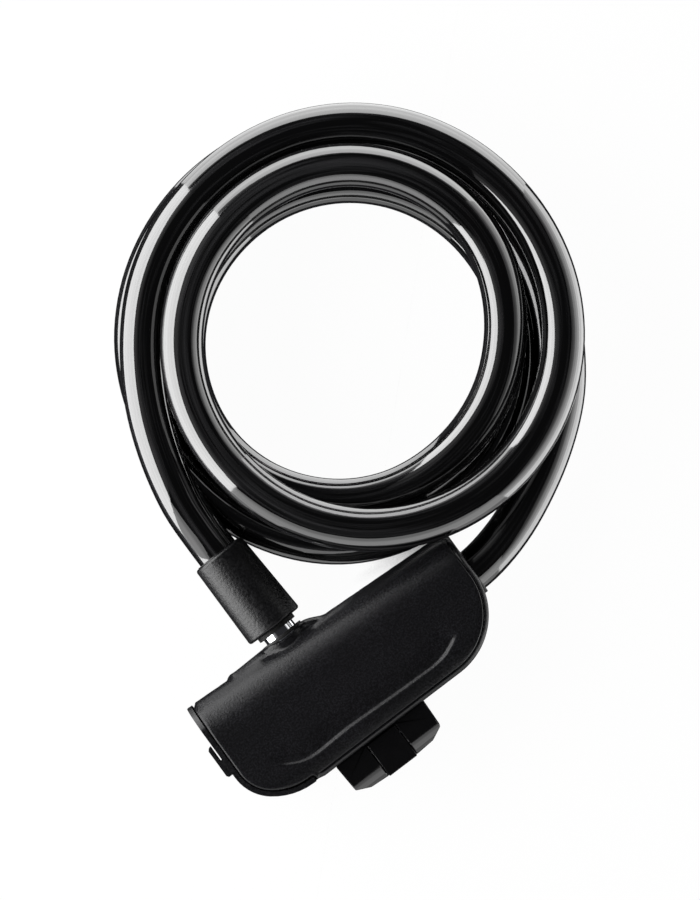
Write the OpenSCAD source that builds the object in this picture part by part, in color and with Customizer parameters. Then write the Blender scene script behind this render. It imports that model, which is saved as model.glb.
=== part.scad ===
// Coiled cable lock for a bicycle, lying flat.
// +X runs along the lock body to the end where the cable leaves it, +Y towards the bolt hole,
// and +Z up out of the face. The origin is on the rest face, near the middle of the body.

/* [Lock body] */
// Thickness of the lock body
body_t = 26; // [25.5:0.5:30]
// Reach of the lock body to the key end, over the dust cover
body_left = 42.8; // [42:0.2:46]
// Reach of the lock body to the cable end
body_right = 43.5; // [41:0.5:48]
// Height of the top edge over the origin at the key end
top_left = 19; // [18.6:0.1:20]
// Height of the top edge over the origin at the cable end
top_right = 16.6; // [16:0.1:18]
// Depth of the bottom edge under the origin at the key end
bottom_left = 18.5; // [18:0.1:20]
// Depth of the bottom edge under the origin at the cable end
bottom_right = 16.6; // [16.2:0.1:18.5]
// Radius of the corner at the key end, where it leaves the end
key_corner_r = 12.5; // [11:0.5:14]
// Radius of the same corner, where it runs out into the bottom edge
key_run_out_r = 19; // [16:0.5:22]
// Radius of the bottom corner at the cable end
cable_corner_r = 20; // [14:0.5:21]
// Radius of the top corner at the cable end
top_corner_r = 2; // [1:0.25:4]
// Radius of the front edge along the top
front_round_r = 12; // [8:0.5:12]
// Radius of the rear edge along the top
rear_round_r = 6; // [3:0.5:8]
// Width of the bevelled band along the lower edge of the face
band_w = 5.4; // [3:0.2:8]
// Fall of the bevelled band
band_fall = 1.6; // [0.4:0.2:2.4]
// Chamfer along the rear bottom edge
rear_chamfer = 1.4; // [0.6:0.2:2.4]
// Wall of the shells
wall_t = 2.4; // [2:0.1:2.8]
// Height of the boss over the origin
boss_top = 20.3; // [19.8:0.1:21.5]
// Reach of the boss from the bolt towards the key end
boss_left = 20.3; // [16:0.1:21]
// Reach of the boss from the bolt towards the cable end
boss_right = 13; // [10:0.5:16]

/* [Dust cover] */
// Thickness of the dust cover
cover_t = 1.4; // [1.2:0.1:1.6]
// Gap between the dust cover and the shells
cover_gap = 0.3; // [0.2:0.05:0.4]
// Bare shell on each side of the dust cover
cover_margin = 1; // [0.6:0.2:2]
// Depth of the dust cover's lowest point under the origin
cover_bottom = 17.8; // [17.4:0.1:18]
// Place of the notch where the dust cover ends
notch_x = -25.3; // [-27:0.1:-24]
// Width of the dust cover's knuckle
knuckle_w = 10; // [6:0.5:14]
// Diameter of the dust cover's pin
cover_pin_d = 1.4; // [1.2:0.1:1.6]
// Length of the fingernail tab
tab_len = 9.6; // [7:0.2:11]
// Distance that the tab stands proud
tab_proud = 1.9; // [1.4:0.1:2.4]
// Width of the tab across the cover
tab_w = 11; // [8:0.5:16]

/* [Cylinder] */
// Height of the cylinder's axis over the origin
cylinder_y = 5; // [4.5:0.1:5.5]
// Diameter of the cylinder barrel
barrel_d = 13; // [12:0.2:13.4]
// Diameter of the cylinder plug
plug_d = 9; // [8.6:0.1:9.6]
// Width of the keyway
keyway_w = 1.6; // [1.2:0.1:1.8]
// Height of the keyway
keyway_h = 6.6; // [5.6:0.2:7]
// Thickness of a wafer
wafer_t = 0.7; // [0.5:0.05:0.9]
// Distance between wafers
wafer_pitch = 2.8; // [2.4:0.1:3]
// Thickness of the drill guard
guard_t = 1.5; // [1:0.1:2]
// Distance of the cam finger from the cylinder's axis
finger_r = 3.2; // [3:0.05:3.4]
// Diameter of the cam finger
finger_d = 2.4; // [2:0.1:2.6]
// Thickness of the cam disc
cam_t = 2.2; // [1.8:0.1:2.4]

/* [Bolt and ferrule] */
// Place of the bolt's axis along the body, where it meets the cylinder's axis
bolt_x = -9.2; // [-9.6:0.1:-8.6]
// Angle that the bolt leans towards the key end
bolt_lean = 2; // [0:0.5:2.5]
// Diameter of the bolt
bolt_d = 9.7; // [9.2:0.1:10]
// Length of bolt that shows between the boss and the collar
bolt_show = 1.5; // [1:0.1:3]
// Diameter of the stud that holds the bolt in the rope socket
stud_d = 5.8; // [5:0.2:6.4]
// Diameter of the collar
collar_d = 12; // [11:0.2:12.4]
// Thickness of the collar
collar_t = 1.5; // [1:0.1:2.4]
// Diameter of the rope socket
socket_d = 12.8; // [12.4:0.1:13]
// Length of the rope socket
socket_len = 16.6; // [15:0.2:18]
// Diameter of the ferrule at the bolt
ferrule_bolt_d = 17.1; // [16.6:0.1:18]
// Diameter of the ferrule at the cable
ferrule_cable_d = 15.8; // [15.4:0.1:16.4]
// Length of the ferrule
ferrule_len = 25.3; // [24:0.1:27]
// Radius of the ferrule's edges
ferrule_edge_r = 0.8; // [0.4:0.1:0.9]

/* [Cable] */
// Diameter of the cable over its sheath
cable_d = 12; // [11.8:0.05:12.1]
// Diameter of the steel rope in it
rope_d = 8; // [6.5:0.1:8.2]
// Height of the cable's outlet over the origin
cable_y = 3.8; // [3.2:0.1:4.4]
// Length of the crimp sleeve in the body
crimp_len = 17; // [15:0.5:18]
// Diameter of the crimp sleeve
crimp_d = 11.8; // [11:0.1:12]
// Diameter of the anchor pin
anchor_d = 3; // [2.5:0.1:3.2]

/* [Foot] */
// Width of the foot
foot_w = 30; // [28:0.5:32]
// Distance that the foot stands out under the body
foot_drop = 10.9; // [10:0.1:13]
// Depth of the foot from front to rear
foot_depth = 18; // [16:0.5:20]
// Width of the tongue
tongue_w = 9.4; // [8:0.2:11]
// Thickness of the tongue
tongue_t = 4; // [3.4:0.1:4.6]
// Gap beside the tongue
tongue_gap = 0.3; // [0.2:0.05:0.5]
// Room behind the tongue
tongue_room = 2; // [1.8:0.1:2.6]
// Diameter of the tongue's spring
spring_d = 3.2; // [2.6:0.1:3.6]
// Diameter of the tongue's pin
tongue_pin_d = 1.6; // [1.4:0.1:2]

/* [Screws] */
// Diameter of the shell screws
screw_d = 2.6; // [2.2:0.1:3]
// Diameter of the screw heads
head_d = 5.4; // [4.8:0.1:5.8]
// Height of the screw heads
head_h = 2; // [1.6:0.1:2.4]
// Width of the hexagon sockets in the screw heads, over their corners
drive_d = 2.6; // [2.2:0.1:3]
// Reach of the screws past the seam
screw_reach = 8; // [6:0.5:8.5]
// Wall around a screw
post_wall = 1.5; // [1.2:0.1:2]

/* [Hidden] */

$fn = 48;
// Clearances: between a running pair, between fixed pieces, and at the end of a pin or a rope
run_gap = 0.05;
seat_gap = 0.15;
end_gap = 0.3;
// How far a cutting body runs past what it cuts
over = 1;
mid = body_t / 2;
body_len = body_left + body_right;
far = 2 * body_len;
cover_reach = cover_t + cover_gap;
shell_left = -body_left + cover_reach;
top_tilt = atan((top_right - top_left) / body_len);
bottom_tilt = atan((bottom_left - bottom_right) / body_len);
arc_steps = 10;

// Straight edges of the body
function top_y(x) = top_left + (top_right - top_left) * (x + body_left) / body_len;
function bottom_y(x) = -bottom_left + (bottom_left - bottom_right) * (x + body_left) / body_len;
function arc(centre, r, from, to, steps = arc_steps) = [for (i = [0:steps])
    let (a = from + (to - from) * i / steps) centre + r * [cos(a), sin(a)]];

// Hinge of the dust cover: its barrel is as thick as the cover and lies in its outer face
ear_r = cover_t;
hinge = [notch_x + cover_gap + ear_r, -cover_bottom + cover_t];

// Corner at the key end: two arcs that meet at an angle of corner_bend
corner_bend = 52;
run_out_offset = (key_run_out_r - key_corner_r) * [cos(corner_bend), sin(corner_bend)];
run_out = [-body_left + key_corner_r + run_out_offset.x, -cover_bottom + key_run_out_r];
key_corner = run_out - run_out_offset;
function corner_arcs(depth) = concat(
    arc(key_corner, key_corner_r - depth, 180, 180 + corner_bend),
    arc(run_out, key_run_out_r - depth, 180 + corner_bend, 270, 6));

// Cylinder and cam, from the key end inwards
barrel_face = shell_left + 0.2;
guard_x = shell_left + wall_t + seat_gap;
core_left = guard_x + guard_t + seat_gap;
finger_tip = bolt_x - 1.6;
cam_x = bolt_x - bolt_d / 2 - end_gap - seat_gap - cam_t;
cam_r = finger_r + finger_d / 2 + 0.4;
clip_t = 0.8;
clip_gap = 0.1;
barrel_end = cam_x - clip_t - 3 * clip_gap;
tail_d = 4.8;
tail_groove_d = 4;
tail_flat = tail_d / 2 - 0.7;
wafer_count = 5;
wafer_w = 3;
slot_gap = 0.1;
core_wall = 2.1;
core_half_t = barrel_d / 2 + core_wall;
core_top = 15.1;
core_bottom = cylinder_y - barrel_d / 2 - core_wall;
core_right = bolt_x + bolt_d / 2 + 2.7;
function wafer_x(i) = barrel_face + 3.4 + i * wafer_pitch;

// Bolt, from its tip outwards; heights are taken along its leaning axis
function on_bolt(y) = [bolt_x, cylinder_y, mid] + (y - cylinder_y) * [-sin(bolt_lean), cos(bolt_lean), 0];
bolt_tip = cylinder_y - finger_r + 0.7;
bolt_home = boss_top + bolt_show;
collar_end = bolt_home + collar_t - 0.1;
ferrule_start = collar_end - 0.1;
ferrule_mouth = ferrule_start + ferrule_len;
socket_start = collar_end + 0.1;
stud_end = socket_start + 6.5;
rope_stop = stud_end + 1;
lip_seat = 1.2;
lip_w = 0.9;
sheath_stop = socket_start + socket_len + seat_gap;
bush_d = bolt_d + 3.2;
seal_t = 1;
bush_top = boss_top - seal_t - 0.1;
bush_start = core_top + seat_gap + bush_d / 2 * sin(bolt_lean);

// Cable end in the body
sheath_in = 14;
sheath_start = body_right - sheath_in;
crimp_end = sheath_start - 0.5;
crimp_start = crimp_end - crimp_len;
anchor_x = crimp_start + anchor_d;
rope_start = anchor_x + anchor_d;
grommet_d = cable_d + 2.8;
flange_t = 1.5;
flange_rim = 1;
flange_x = body_right - wall_t - flange_t - seat_gap;

// Foot
foot_x = -3.8;
foot_y = bottom_y(foot_x);
foot_edge = 3;
neck_y = 0.5;
neck_z = 8;
neck = [foot_w - 8, wall_t + seat_gap + 2 * neck_y, neck_z];
flange = [foot_w - 4, 2.4, neck_z + 5];
tongue_front = foot_depth / 2 - 0.2;
tongue_back = tongue_front - tongue_t;
tongue_pivot = [-2.3, tongue_front - tongue_t / 2];
pin_hold = 3.2;
spring_y = -7.6;
spring_len = tongue_room + 3.8;
spring_gap = 0.1;

// Shell screws, clear of the core, the crimp and the foot
screw_places = [[-34, -9.6], [17, -12], [33, -7], [30, 12.4], [4.5, 12]];
head_z = 1.4;
seat_z = head_z + head_h;
head_room = 0.4;
screw_end = mid + screw_reach;
// Ribs: their thickness, how far they are rooted in the wall, and where they stand along the body
rib_t = 1.6;
rib_root = 0.4;
core_rib_places = [core_left + 4, core_right - 6];
crimp_rib_places = [crimp_start + 8, crimp_end - 4, sheath_start + 4];

// Route of the cable, by the height and the distance from the coil's middle at every eighth of a turn
coil_middle = [53.3, 74.7];
coil_start = -36;
coil_r = [58.7, 57.5, 57.9, 58.7, 59.3, 57.6, 55.9, 50.5, 46.4, 44.4, 43.9, 44.4, 45.9, 46.2, 44.1, 41.8,
    42.6, 46.2, 47.8, 46.6, 46.2, 47.8, 51.9, 55.9, 58.4, 58.8, 59.1, 57.6, 57.3];
coil_z = [8.6, 6.8, 6, 6, 6, 6, 6, 6, 6, 6, 6, 6, 7, 11.9, 13.2, 17.2,
    20.5, 23.5, 24.9, 25.2, 25.1, 25, 24.8, 23.6, 21.6, 19.7, 18.6, 18.5, 18.6];
eighth_turn = 360 / 8;
eighths = len(coil_r) - 1;
rings_an_eighth = 3;
// Free stretch from the body to the coil, and from the coil to the ferrule
body_route = [[58, 6.6, 13.4], [70, 11.9, 12], [82, 19.3, 10.6], [92.6, 28.6, 9.4]];
bolt_route = [[-1.3, 95.3, 18.7], [-7.6, 79, 18.3], [-9.7, 70, 17.6], [-10.7, 63, 16], [-10.8, 57, 14.6]];

function spline(list, i, f) = let (n = len(list) - 1, a = list[max(i - 1, 0)], b = list[i],
    c = list[min(i + 1, n)], d = list[min(i + 2, n)])
    0.5 * (2 * b + (c - a) * f + (2 * a - 5 * b + 4 * c - d) * f * f + (3 * b - a - 3 * c + d) * f * f * f);
function at_eighth(list, s) = let (i = min(floor(s), eighths - 1)) spline(list, i, s - i);
function coil_point(s) = let (r = at_eighth(coil_r, s), a = coil_start + eighth_turn * s)
    [coil_middle.x + r * cos(a), coil_middle.y + r * sin(a), at_eighth(coil_z, s)];

body_points = concat([for (x = [rope_start + end_gap, sheath_start, body_right + 3]) [x, cable_y, mid]],
    body_route);
coil_points = [for (i = [0:eighths * rings_an_eighth]) coil_point(i / rings_an_eighth)];
bolt_points = concat(bolt_route,
    [for (y = [ferrule_mouth + 3, sheath_stop, rope_stop + end_gap]) on_bolt(y)]);
route = concat(body_points, coil_points, bolt_points);
coil_from = len(body_points);
coil_to = coil_from + len(coil_points) - 1;
route_end = len(route) - 1;

// Least distance between turns, measured between ring centres that are over half a turn apart
turn = 8 * rings_an_eighth;
function near_line(p, a, b) = let (ab = b - a, f = min(1, max(0, (p - a) * ab / (ab * ab))))
    norm(p - a - f * ab);
turn_gap = min([for (i = [0:route_end - 1]) for (j = [i + turn / 2:1:route_end - 1])
    near_line(route[i], route[j], route[j + 1])]) - cable_d;
cable_length = sheath_length(1);
function sheath_length(i) = i >= route_end - 1 ? 0 : norm(route[i + 1] - route[i]) + sheath_length(i + 1);
echo(least_gap_between_turns = turn_gap, cable_length = cable_length);

// Direction of the route: the coil starts and ends on a straight, and all stretches meet square to it
function heading(i) =
    route[i == coil_to ? i : min(i + 1, route_end)] - route[i == coil_from ? i : max(i - 1, 0)];

// One unbroken tube or rod through the route points from..to, with a corner of its section downwards
module swept(from, to, r, hole_r = 0, sides = 6) {
    count = to - from + 1;
    function unit(v) = v / norm(v);
    function ring(i, radius) = let (t = unit(heading(i)), side = unit(cross([0, 0, 1], t)))
        [for (k = [0:sides - 1]) let (a = 360 * k / sides)
            route[i] + radius * (cos(a) * cross(t, side) - sin(a) * side)];
    points = concat([for (i = [from:to]) each ring(i, r)],
        hole_r > 0 ? [for (i = [from:to]) each ring(i, hole_r)] : []);
    inner = count * sides;
    last = (count - 1) * sides;
    function wall(base, out) = [for (i = [0:count - 2]) for (k = [0:sides - 1])
        let (a = base + i * sides + k, b = base + i * sides + (k + 1) % sides)
        each out ? [[a, b, a + sides], [b, b + sides, a + sides]]
            : [[a, a + sides, b], [b, a + sides, b + sides]]];
    function ends() = [for (k = [0:sides - 1]) let (n = (k + 1) % sides)
        each [[k, inner + k, n], [n, inner + k, inner + n],
            [last + k, last + n, inner + last + k], [last + n, inner + last + n, inner + last + k]]];
    function caps() = [for (k = [1:sides - 2])
        each [[0, k + 1, k], [last, last + k, last + k + 1]]];
    polyhedron(points, concat(wall(0, true), hole_r > 0 ? concat(wall(inner, false), ends()) : caps()));
}

// Frame of the bolt: its Y axis is the bolt's axis, and its origin has the height of the body's
module in_bolt() { translate(on_bolt(0)) rotate([0, 0, bolt_lean]) children(); }

// A cylinder along X or Y that starts at a point
module along_x(place, r, length) { translate(place) rotate([0, 90, 0]) cylinder(r = r, h = length); }
module along_y(place, r, length) { translate(place) rotate([-90, 0, 0]) cylinder(r = r, h = length); }

// Outline of the shells in the plane: the outside has the boss and the hinge's ear, a hollow has neither
module outline(inset = 0) {
    left = shell_left + inset;
    right = body_right - inset;
    ledge = -cover_bottom + cover_reach + inset;
    cable_r = cable_corner_r - inset;
    ear = concat([[hinge.x - ear_r, ledge]], arc(hinge, ear_r, 180, 270, 4),
        [[hinge.x + 1, bottom_y(hinge.x + 1)]]);
    boss_from = bolt_x - boss_left;
    boss_to = bolt_x + boss_right;
    boss = [[boss_to, top_y(boss_to)], [boss_to - 5.3, boss_top - 0.3], [bolt_x, boss_top],
        [boss_from + 0.9, boss_top - 0.8], [boss_from, top_y(boss_from)]];
    polygon(concat(
        corner_arcs(cover_reach + inset),
        inset == 0 ? ear : [[hinge.x + 2.5, ledge], [hinge.x + 2.5, bottom_y(hinge.x + 2.5) + inset]],
        arc([right - cable_r, bottom_y(body_right - cable_corner_r) + cable_corner_r], cable_r, -90, 0),
        arc([right - top_corner_r, top_y(right) - inset - top_corner_r], top_corner_r, 0, 90, 4),
        inset == 0 ? boss : [],
        [[left + 1, top_y(left) - inset], [left, top_y(left) - 1 - inset]]));
}

// Long bars that round and bevel the edges: one follows the top edge, one the bottom edge
module top_bar(inset = 0, raise = 0) {
    front = front_round_r - inset;
    rear = rear_round_r - inset * 0.5;
    translate([0, top_y(0) - inset + raise, 0]) rotate([0, 0, top_tilt]) translate([-far / 2, 0, 0])
        rotate([90, 0, 90]) linear_extrude(far) polygon(concat(
            [[-far, inset]], arc([-rear, inset + rear], rear, -90, 0, 6),
            arc([-front, body_t - inset - front], front, 0, 90, 10), [[-far, body_t - inset]]));
}
module bottom_bar(inset = 0) {
    translate([0, bottom_y(0) + inset, 0]) rotate([0, 0, bottom_tilt]) translate([-far / 2, 0, 0])
        rotate([90, 0, 90]) linear_extrude(far) polygon([
            [far, inset], [far, body_t - inset], [band_w, body_t - inset],
            [0.8, body_t - inset - band_fall + 0.2], [0, body_t - inset - band_fall - 0.8],
            [0, inset + rear_chamfer], [rear_chamfer, inset]]);
}

// Outer form of the two shells together, or its hollow when drawn in by the wall
module body_form(inset = 0) {
    intersection() {
        translate([0, 0, inset]) linear_extrude(body_t - 2 * inset) outline(inset);
        union() {
            top_bar(inset);
            if (inset == 0) intersection() {
                top_bar(0, boss_top - top_y(bolt_x));
                translate([bolt_x - boss_left, 0, 0]) cube([boss_left + boss_right, far, body_t]);
            }
        }
        bottom_bar(inset);
    }
}

// Half of the space, front or rear of the seam
module half(front) { translate([-far / 2, -far / 2, front ? mid : -over]) cube([far, far, mid + over]); }

// What both shells are cut by
module shell_cuts() {
    along_x([shell_left - over, cylinder_y, mid], barrel_d / 2 + seat_gap, wall_t + 2 * over);
    in_bolt() along_y([0, core_top - over, 0], bush_d / 2 + run_gap, boss_top - core_top + 2 * over);
    along_x([body_right - wall_t - over, cable_y, mid], grommet_d / 2 + run_gap, wall_t + 2 * over);
    along_x([flange_x - seat_gap, cable_y, mid], grommet_d / 2 + flange_rim + seat_gap,
        flange_t + 2 * seat_gap);
    translate([hinge.x, hinge.y, mid - knuckle_w / 2 - cover_gap])
        linear_extrude(knuckle_w + 2 * cover_gap) {
            circle(r = cover_reach);
            translate([0, -2 * cover_t]) square([cover_reach + 2 * end_gap, 2 * cover_t]);
        }
    translate([hinge.x, hinge.y, wall_t]) cylinder(d = cover_pin_d + 0.04, h = body_t - 2 * wall_t);
    in_foot() translate([-neck.x / 2 - seat_gap, -over, -neck.z / 2 - seat_gap])
        cube([neck.x + 2 * seat_gap, 2 * over + wall_t, neck.z + 2 * seat_gap]);
}

// Ribs that hold the core, the crimp and the cable, and posts for the screws and the anchor pin
module shell_ribs() {
    translate([0, 0, wall_t - rib_root]) {
        for (x = core_rib_places) translate([x, core_bottom - rib_t, 0])
            cube([rib_t, core_top - core_bottom + rib_t, body_t]);
        translate([core_left, core_bottom - rib_t - seat_gap, 0])
            cube([core_right - core_left, rib_t, body_t]);
        for (x = crimp_rib_places)
            translate([x, cable_y - cable_d / 2 - rib_t, 0]) cube([rib_t, cable_d + 2 * rib_t, body_t]);
        translate([anchor_x, cable_y, 0]) cylinder(d = anchor_d + 2 * post_wall, h = body_t);
        for (place = screw_places) translate([place.x, place.y, 0])
            cylinder(d = head_d + head_room + 2 * post_wall, h = body_t);
    }
}
module rib_cuts() {
    translate([core_left - seat_gap, core_bottom - seat_gap, mid - core_half_t - seat_gap])
        cube([core_right - core_left + 2 * seat_gap, far, 2 * (core_half_t + seat_gap)]);
    along_x([crimp_start - seat_gap, cable_y, mid], crimp_d / 2 + seat_gap, crimp_len + 2 * seat_gap);
    along_x([crimp_end - over, cable_y, mid], cable_d / 2 + seat_gap, body_right - crimp_end);
    translate([anchor_x, cable_y, wall_t]) cylinder(d = anchor_d + 2 * run_gap, h = body_t - 2 * wall_t);
}

module shell(front) {
    difference() {
        intersection() {
            union() {
                difference() {
                    body_form();
                    body_form(wall_t);
                }
                difference() {
                    intersection() {
                        body_form(wall_t - rib_root);
                        shell_ribs();
                    }
                    rib_cuts();
                }
            }
            half(front);
        }
        shell_cuts();
        for (place = screw_places) translate([place.x, place.y, 0]) {
            if (front) translate([0, 0, mid - over])
                cylinder(d = screw_d + run_gap, h = screw_reach + end_gap + over);
            else {
                translate([0, 0, -over]) cylinder(d = screw_d + 2 * end_gap, h = body_t);
                translate([0, 0, -over]) cylinder(d = head_d + head_room, h = seat_z + over);
            }
        }
    }
}
module front_shell() color("#1d1e20") shell(true);
module rear_shell() color("#1a1b1d") shell(false);

// Fingernail tab: its lower end, its thickness, and how far it is rooted in the cover
tab_foot = -3;
tab_t = 0.9;
tab_seat = 0.2;

// Strip that wraps the key end and its lower corner, with a knuckle at the notch and a fingernail tab
module cover_strip(depth) {
    polygon(concat(corner_arcs(depth),
        [[notch_x, depth - cover_bottom], [notch_x, body_len], [-body_left + depth, body_len]]));
}
module dust_cover() color("#202124") difference() {
    union() {
        intersection() {
            translate([0, 0, cover_margin]) linear_extrude(body_t - 2 * cover_margin) difference() {
                cover_strip(0);
                cover_strip(cover_t);
            }
            top_bar(0.2);
        }
        translate([0, 0, mid - knuckle_w / 2]) linear_extrude(knuckle_w) {
            translate(hinge) circle(r = cover_t);
            translate([notch_x - 0.5, -cover_bottom]) square([hinge.x - notch_x + 0.5, cover_t]);
        }
        translate([0, 0, mid - tab_w / 2]) linear_extrude(tab_w) translate([-body_left, tab_foot]) polygon([
            [tab_seat, 0], [0.5 - tab_proud, 0], [-tab_proud, 0.6], [-tab_proud, tab_len - 0.6],
            [0.5 - tab_proud, tab_len], [tab_t - tab_proud, tab_len], [tab_t - tab_proud, tab_len / 2],
            [tab_seat, tab_len / 2]]);
    }
    translate([hinge.x, hinge.y, 0]) cylinder(d = cover_pin_d + 2 * run_gap, h = body_t);
}
module dust_cover_pin() color("#a8a9ac") translate([hinge.x, hinge.y, wall_t + end_gap])
    cylinder(d = cover_pin_d, h = body_t - 2 * (wall_t + end_gap));

// Block between two places along the body, trimmed to the hollow of the shells
module core_block(from, to) {
    intersection() {
        translate([from, core_bottom, mid - core_half_t])
            cube([to - from, core_top - core_bottom, 2 * core_half_t]);
        top_bar(wall_t + seat_gap);
    }
}

// Hardened plate in front of the core, round the barrel
module drill_guard() color("#6f7276") difference() {
    core_block(guard_x, guard_x + guard_t);
    along_x([guard_x - over, cylinder_y, mid], barrel_d / 2 + run_gap, guard_t + 2 * over);
}

// Cast block with the cylinder's bore, the cam's chamber and the bolt's bore
module lock_core() color("#9b9da1") difference() {
    core_block(core_left, core_right);
    along_x([core_left - over, cylinder_y, mid], barrel_d / 2 + run_gap,
        barrel_end + seat_gap - core_left + over);
    along_x([barrel_end, cylinder_y, mid], cam_r + 0.4, bolt_x - barrel_end);
    in_bolt() along_y([0, bolt_tip - 0.9, 0], bolt_d / 2 + run_gap, far);
}

// Brass barrel, fixed in the core, and the plug that turns in it
module cylinder_barrel() color("#b08d3f") difference() {
    along_x([barrel_face, cylinder_y, mid], barrel_d / 2, barrel_end - barrel_face);
    along_x([barrel_face - over, cylinder_y, mid], plug_d / 2 + run_gap,
        barrel_end - barrel_face + 2 * over);
}
module cylinder_plug() color("#c9a54e") difference() {
    union() {
        along_x([barrel_face + 0.1, cylinder_y, mid], plug_d / 2, barrel_end - barrel_face - 0.1);
        along_x([barrel_end - over, cylinder_y, mid], tail_d / 2, cam_x + cam_t - barrel_end + over);
    }
    translate([barrel_face - over, cylinder_y - keyway_w / 2, mid - keyway_h / 2])
        cube([wafer_x(wafer_count) - barrel_face, keyway_w, keyway_h]);
    for (i = [0:wafer_count - 1])
        translate([wafer_x(i) - slot_gap, cylinder_y - wafer_w / 2 - slot_gap, mid - plug_d])
            cube([wafer_t + 2 * slot_gap, wafer_w + 2 * slot_gap, 2 * plug_d]);
    difference() {
        along_x([barrel_end + clip_gap, cylinder_y, mid], plug_d, clip_t + clip_gap);
        along_x([barrel_end, cylinder_y, mid], tail_groove_d / 2, clip_t + 3 * clip_gap);
    }
    translate([cam_x - clip_gap / 2, cylinder_y - plug_d, mid + tail_flat])
        cube([cam_t + clip_gap + over, 2 * plug_d, plug_d]);
}
module wafers() color("#d0ad58") for (i = [0:wafer_count - 1]) {
    half_h = sqrt(pow(plug_d / 2, 2) - pow(wafer_w / 2, 2)) - seat_gap;
    window = [keyway_w + 0.4, keyway_h - 2.2];
    translate([wafer_x(i), cylinder_y, mid]) difference() {
        translate([0, -wafer_w / 2, -half_h]) cube([wafer_t, wafer_w, 2 * half_h]);
        translate([-over, -window.x / 2, 0.35 * (i % 3 - 1) - window.y / 2])
            cube([wafer_t + 2 * over, window.x, window.y]);
    }
}
module tail_clip() color("#8a8d91")
    translate([barrel_end + 1.5 * clip_gap, cylinder_y, mid]) rotate([0, 90, 0]) difference() {
        mouth = tail_groove_d - 0.6;
        cylinder(d = tail_d + 1.8, h = clip_t);
        translate([0, 0, -over]) cylinder(d = tail_groove_d + 2 * run_gap, h = clip_t + 2 * over);
        translate([-mouth / 2, 0, -over]) cube([mouth, plug_d, clip_t + 2 * over]);
    }
module cam_disc() color("#8a8d91") difference() {
    union() {
        along_x([cam_x, cylinder_y, mid], cam_r, cam_t);
        along_x([cam_x, cylinder_y, mid + finger_r], finger_d / 2, finger_tip - cam_x);
    }
    difference() {
        along_x([cam_x - over, cylinder_y, mid], tail_d / 2 + run_gap, cam_t + 2 * over);
        translate([cam_x - over, cylinder_y - plug_d, mid + tail_flat + 0.1])
            cube([cam_t + 2 * over, 2 * plug_d, plug_d]);
    }
}

// Steel guide and rubber seal in the boss
module bolt_bush() color("#7d8084") in_bolt() difference() {
    along_y([0, bush_start, 0], bush_d / 2, bush_top - bush_start);
    along_y([0, core_top, 0], bolt_d / 2 + run_gap, far);
}
module bolt_seal() color("#101112") in_bolt() difference() {
    along_y([0, bush_top + run_gap, 0], bush_d / 2, seal_t - run_gap);
    along_y([0, bush_top - over, 0], bolt_d / 2 + seat_gap, far);
}

// Chrome bolt: a bayonet groove runs from its tip to the cylinder's axis and on for a quarter turn
module bolt_groove() {
    half_w = finger_d / 2 + end_gap;
    from_x = -bolt_d;
    depth = finger_tip - bolt_x + end_gap - from_x;
    translate([from_x, bolt_tip - over, finger_r - half_w])
        cube([depth, cylinder_y - bolt_tip + over, 2 * half_w]);
    intersection() {
        difference() {
            along_x([from_x, cylinder_y, 0], finger_r + half_w, depth);
            along_x([from_x - over, cylinder_y, 0], finger_r - half_w, depth + 2 * over);
        }
        translate([from_x - over, cylinder_y - 0.01, -0.01]) cube([depth + 2 * over, bolt_d, bolt_d]);
    }
    along_x([from_x, cylinder_y + finger_r, 0], half_w, depth);
}
module lock_bolt() color("#d5d7da") in_bolt() difference() {
    chamfer = 1;
    stud_chamfer = 0.6;
    rotate([-90, 0, 0]) rotate_extrude() polygon([
        [0, bolt_tip], [bolt_d / 2 - chamfer, bolt_tip], [bolt_d / 2, bolt_tip + chamfer],
        [bolt_d / 2, collar_end], [stud_d / 2, collar_end], [stud_d / 2, stud_end - stud_chamfer],
        [stud_d / 2 - stud_chamfer, stud_end], [0, stud_end]]);
    bolt_groove();
}
module bolt_collar() color("#0d0e0f") in_bolt() difference() {
    along_y([0, bolt_home, 0], collar_d / 2, collar_end - bolt_home);
    along_y([0, bolt_home - over, 0], bolt_d / 2 + run_gap, collar_t + 2 * over);
}
module rope_socket() color("#85888c") in_bolt() difference() {
    along_y([0, socket_start, 0], socket_d / 2, socket_len);
    along_y([0, socket_start - over, 0], stud_d / 2 + run_gap, stud_end - socket_start + over + end_gap);
    along_y([0, rope_stop, 0], rope_d / 2 + seat_gap, socket_len);
}

// Tapered plastic ferrule over the socket and the end of the sheath
module ferrule_shell() color("#1b1c1e") in_bolt() difference() {
    r = ferrule_edge_r;
    rotate([-90, 0, 0]) rotate_extrude() polygon(concat(
        [[0, ferrule_start]], arc([ferrule_bolt_d / 2 - r, ferrule_start + r], r, -90, 0, 4),
        arc([ferrule_cable_d / 2 - r, ferrule_mouth - r], r, 0, 90, 4), [[0, ferrule_mouth]]));
    along_y([0, ferrule_start - over, 0], socket_d / 2 + run_gap, sheath_stop - ferrule_start + over);
    along_y([0, sheath_stop - over, 0], cable_d / 2 + seat_gap, ferrule_len);
    along_y([0, ferrule_mouth - lip_seat, 0], cable_d / 2 + lip_w, ferrule_len);
}
module ferrule_lip() color("#3a3b3d") in_bolt() difference() {
    along_y([0, ferrule_mouth - lip_seat + run_gap, 0], cable_d / 2 + lip_w - run_gap, lip_seat + seat_gap);
    along_y([0, ferrule_mouth - lip_seat - over, 0], cable_d / 2 + seat_gap / 2, lip_seat + 3 * over);
}

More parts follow.
